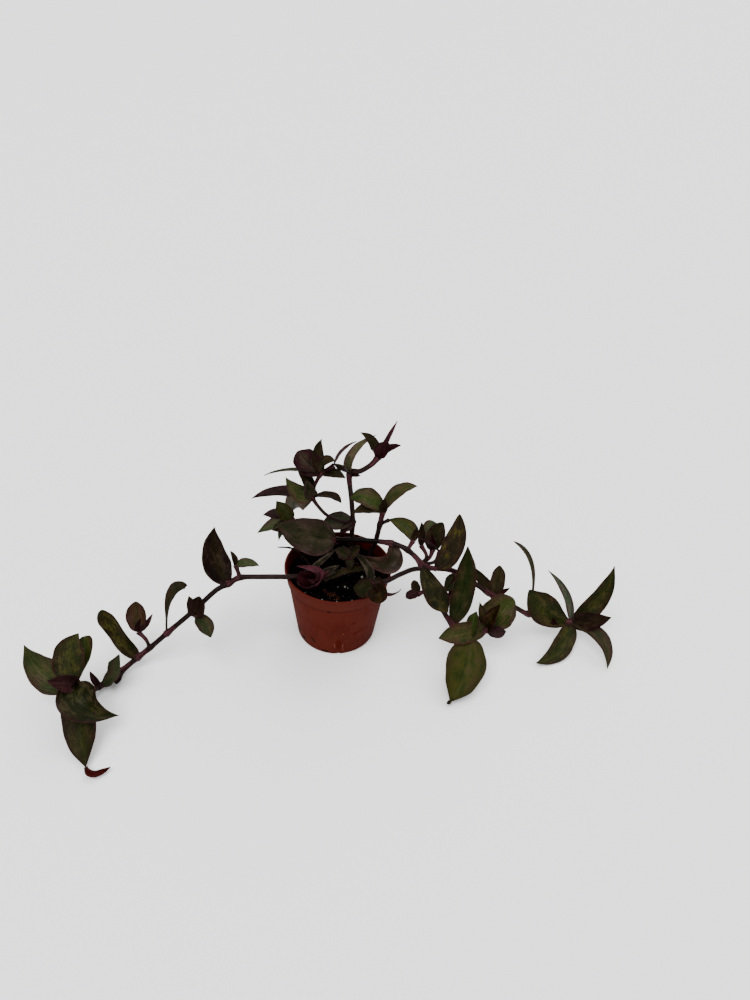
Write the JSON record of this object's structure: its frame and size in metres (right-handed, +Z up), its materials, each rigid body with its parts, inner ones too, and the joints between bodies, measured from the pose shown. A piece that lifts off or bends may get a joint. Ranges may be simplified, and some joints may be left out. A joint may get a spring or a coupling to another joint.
{
  "type": "potted gothic tradescantia",
  "caption": "Trailing tradescantia in a round plastic nursery pot: leafy stems rooted in soil, arching over the rim and trailing along the table.",
  "frame": {"origin": "middle of the pot's underside, on the surface the pot stands on", "axes": "+Z up out of the pot, +X towards the far right rosette, +Y away from the viewer"},
  "size_m": [0.5543, 0.2489, 0.2282],
  "materials": {
    "pot": "moulded terracotta-coloured plastic, satin",
    "soil": "damp dark potting soil with perlite and bark",
    "foliage": "living leaf, olive green to purple-brown, slight gloss",
    "twig": "dry dead stalk"
  },
  "bodies": {
    "root": {"pot": "pot", "soil": "soil", "left_trailing_stem": "foliage", "arching_stem": "foliage", "right_trailing_stem": "foliage", "upright_stem": "foliage", "small_upright_stem": "foliage", "back_left_stem": "foliage", "young_stem": "foliage", "dead_twig": "twig"}
  },
  "joints": []
}
